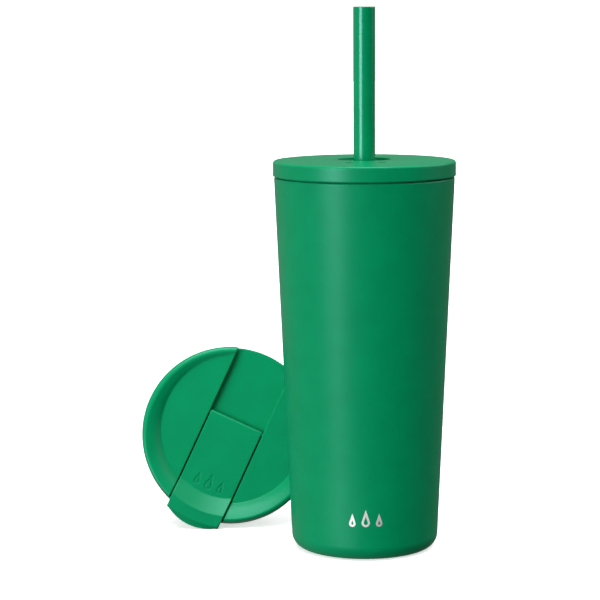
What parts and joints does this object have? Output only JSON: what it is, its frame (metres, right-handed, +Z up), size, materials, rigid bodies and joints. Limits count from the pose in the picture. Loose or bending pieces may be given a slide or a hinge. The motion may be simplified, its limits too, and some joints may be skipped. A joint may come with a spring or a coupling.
{
  "type": "insulated tumbler with lid",
  "caption": "Tall tapered vacuum-insulated steel tumbler with a flat straw lid and straw, and a spare flip-tab drinking lid standing beside it.",
  "frame": {"origin": "middle of the tumbler's base, on the surface it stands on", "axes": "+Z up the tumbler's axis, +Y away from the viewer towards the flip lid's plug side, -X towards the flip lid"},
  "size_m": [0.1579, 0.1323, 0.265],
  "materials": {
    "powder_coat": "satin green powder coat, very fine texture",
    "stainless_steel": "brushed, unpainted",
    "getter_metal": "sintered grey metal",
    "seal_glass": "fused sealing glass",
    "lid_plastic": "satin moulded green polypropylene",
    "straw_plastic": "semi-gloss green polypropylene",
    "silicone": "pale translucent silicone",
    "green_silicone": "matt green silicone"
  },
  "bodies": {
    "tumbler": {"outer_shell": "powder_coat", "inner_liner": "stainless_steel", "base_plate": "stainless_steel", "base_cover": "stainless_steel", "getter": "getter_metal", "vacuum_seal": "seal_glass"},
    "straw_lid": {"straw_lid_cover": "lid_plastic", "straw_lid_insert": "lid_plastic", "straw_lid_gasket": "silicone", "straw_grommet": "green_silicone"},
    "straw": {"straw": "straw_plastic"},
    "flip_lid": {"flip_lid_cover": "lid_plastic", "flip_lid_insert": "lid_plastic", "flip_lid_gasket": "silicone", "hinge_pin": "lid_plastic"},
    "flip_tab": {"flip_tab": "lid_plastic", "tab_stopper": "silicone", "vent_stopper": "silicone"}
  },
  "joints": [
    {"name": "straw_lid_lift", "type": "slide", "parent": "tumbler", "child": "straw_lid", "axis": [0, 0, 1], "range_m": [0, 0.19]},
    {"name": "straw_lift", "type": "slide", "parent": "straw_lid", "child": "straw", "axis": [0, 0, 1], "range_m": [0, 0.25]},
    {"name": "flip_lid_lift", "type": "slide", "parent": "tumbler", "child": "flip_lid", "axis": [0, 0, 1], "range_m": [0, 0.15]},
    {"name": "flip_tab_hinge", "type": "hinge", "parent": "flip_lid", "child": "flip_tab", "pos_m": [-0.06517, 0.0577, 0.05049], "axis": [-0.9085, 0.0857, 0.409], "range_deg": [0, 178]}
  ]
}
